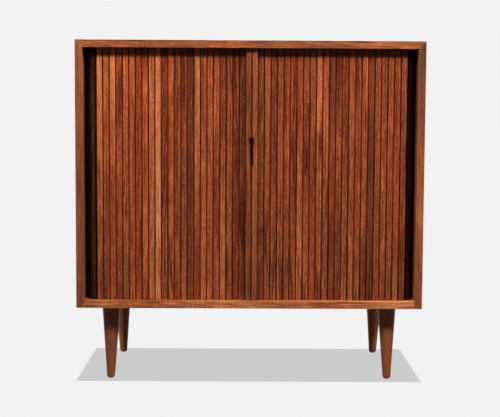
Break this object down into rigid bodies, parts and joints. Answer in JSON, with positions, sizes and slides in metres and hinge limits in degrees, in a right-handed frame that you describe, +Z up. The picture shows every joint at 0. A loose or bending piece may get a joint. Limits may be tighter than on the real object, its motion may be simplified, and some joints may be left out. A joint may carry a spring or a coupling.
{
  "type": "tambour door cabinet",
  "caption": "Walnut cabinet on tapered splayed legs, closed by two slatted tambour doors that slide apart into side pockets, with adjustable shelves inside.",
  "frame": {"origin": "on the floor under the middle of the case", "axes": "+X to the right along the width, -Y towards the front and its doors, +Z up"},
  "size_m": [0.915, 0.43, 0.9],
  "materials": {
    "case_wood": "oiled walnut",
    "slat_wood": "oiled walnut, slats of mixed tones on canvas",
    "stile_wood": "oiled walnut",
    "leg_wood": "turned and oiled walnut",
    "inside_wood": "walnut veneer",
    "steel": "zinc plated",
    "nylon": "moulded nylon"
  },
  "bodies": {
    "case": {"top_panel": "case_wood", "left_side_panel": "case_wood", "right_side_panel": "case_wood", "bottom_panel": "case_wood", "back_panel": "inside_wood", "track_stop_top": "inside_wood", "track_stop_bottom": "inside_wood", "left_pocket_wall": "inside_wood", "right_pocket_wall": "inside_wood", "lower_shelf": "inside_wood", "upper_shelf": "inside_wood", "lower_shelf_pin_front_left": "steel", "lower_shelf_pin_back_left": "steel", "lower_shelf_pin_front_right": "steel", "lower_shelf_pin_back_right": "steel", "upper_shelf_pin_front_left": "steel", "upper_shelf_pin_back_left": "steel", "upper_shelf_pin_front_right": "steel", "upper_shelf_pin_back_right": "steel", "front_left_leg": "leg_wood", "front_left_leg_plate": "steel", "front_left_hanger_bolt": "steel", "front_left_glide": "nylon", "front_right_leg": "leg_wood", "front_right_leg_plate": "steel", "front_right_hanger_bolt": "steel", "front_right_glide": "nylon", "back_left_leg": "leg_wood", "back_left_leg_plate": "steel", "back_left_hanger_bolt": "steel", "back_left_glide": "nylon", "back_right_leg": "leg_wood", "back_right_leg_plate": "steel", "back_right_hanger_bolt": "steel", "back_right_glide": "nylon", "left_curtain_by_corner": "slat_wood", "left_curtain_round_corner": "slat_wood", "right_curtain_by_corner": "slat_wood", "right_curtain_round_corner": "slat_wood"},
    "left_door": {"left_stile": "stile_wood"},
    "left_section_1": {"left_curtain_section_1": "slat_wood"},
    "left_section_2": {"left_curtain_section_2": "slat_wood"},
    "left_section_3": {"left_curtain_section_3": "slat_wood"},
    "left_section_4": {"left_curtain_section_4": "slat_wood"},
    "left_section_5": {"left_curtain_section_5": "slat_wood"},
    "left_tail": {"left_curtain_tail": "slat_wood"},
    "right_door": {"right_stile": "stile_wood"},
    "right_section_1": {"right_curtain_section_1": "slat_wood"},
    "right_section_2": {"right_curtain_section_2": "slat_wood"},
    "right_section_3": {"right_curtain_section_3": "slat_wood"},
    "right_section_4": {"right_curtain_section_4": "slat_wood"},
    "right_section_5": {"right_curtain_section_5": "slat_wood"},
    "right_tail": {"right_curtain_tail": "slat_wood"}
  },
  "joints": [
    {"name": "left_door_slide", "type": "slide", "parent": "case", "child": "left_door", "axis": [-1, 0, 0], "range_m": [0, 0.3397]},
    {"name": "left_section_1_slide", "type": "slide", "parent": "case", "child": "left_section_1", "axis": [-1, 0, 0], "range_m": [0, 0.3397], "deforming": ["left_curtain_section_1"]},
    {"name": "left_section_2_slide", "type": "slide", "parent": "case", "child": "left_section_2", "axis": [-1, 0, 0], "range_m": [0, 0.27176], "deforming": ["left_curtain_section_2"]},
    {"name": "left_section_3_slide", "type": "slide", "parent": "case", "child": "left_section_3", "axis": [-1, 0, 0], "range_m": [0, 0.20382], "deforming": ["left_curtain_section_3"]},
    {"name": "left_section_4_slide", "type": "slide", "parent": "case", "child": "left_section_4", "axis": [-1, 0, 0], "range_m": [0, 0.13588], "deforming": ["left_curtain_section_4"]},
    {"name": "left_section_5_slide", "type": "slide", "parent": "case", "child": "left_section_5", "axis": [-1, 0, 0], "range_m": [0, 0.06794], "deforming": ["left_curtain_section_5"]},
    {"name": "left_tail_slide", "type": "slide", "parent": "case", "child": "left_tail", "axis": [0, 1, 0], "range_m": [0, 0.3397]},
    {"name": "right_door_slide", "type": "slide", "parent": "case", "child": "right_door", "axis": [1, 0, 0], "range_m": [0, 0.3397]},
    {"name": "right_section_1_slide", "type": "slide", "parent": "case", "child": "right_section_1", "axis": [1, 0, 0], "range_m": [0, 0.3397], "deforming": ["right_curtain_section_1"]},
    {"name": "right_section_2_slide", "type": "slide", "parent": "case", "child": "right_section_2", "axis": [1, 0, 0], "range_m": [0, 0.27176], "deforming": ["right_curtain_section_2"]},
    {"name": "right_section_3_slide", "type": "slide", "parent": "case", "child": "right_section_3", "axis": [1, 0, 0], "range_m": [0, 0.20382], "deforming": ["right_curtain_section_3"]},
    {"name": "right_section_4_slide", "type": "slide", "parent": "case", "child": "right_section_4", "axis": [1, 0, 0], "range_m": [0, 0.13588], "deforming": ["right_curtain_section_4"]},
    {"name": "right_section_5_slide", "type": "slide", "parent": "case", "child": "right_section_5", "axis": [1, 0, 0], "range_m": [0, 0.06794], "deforming": ["right_curtain_section_5"]},
    {"name": "right_tail_slide", "type": "slide", "parent": "case", "child": "right_tail", "axis": [0, 1, 0], "range_m": [0, 0.3397]}
  ],
  "couplings": [
    {"joint": "left_section_1_slide", "follows": "left_door_slide", "ratio": 1},
    {"joint": "left_section_2_slide", "follows": "left_door_slide", "ratio": 0.8},
    {"joint": "left_section_3_slide", "follows": "left_door_slide", "ratio": 0.6},
    {"joint": "left_section_4_slide", "follows": "left_door_slide", "ratio": 0.4},
    {"joint": "left_section_5_slide", "follows": "left_door_slide", "ratio": 0.2},
    {"joint": "left_tail_slide", "follows": "left_door_slide", "ratio": 1},
    {"joint": "right_section_1_slide", "follows": "right_door_slide", "ratio": 1},
    {"joint": "right_section_2_slide", "follows": "right_door_slide", "ratio": 0.8},
    {"joint": "right_section_3_slide", "follows": "right_door_slide", "ratio": 0.6},
    {"joint": "right_section_4_slide", "follows": "right_door_slide", "ratio": 0.4},
    {"joint": "right_section_5_slide", "follows": "right_door_slide", "ratio": 0.2},
    {"joint": "right_tail_slide", "follows": "right_door_slide", "ratio": 1}
  ]
}
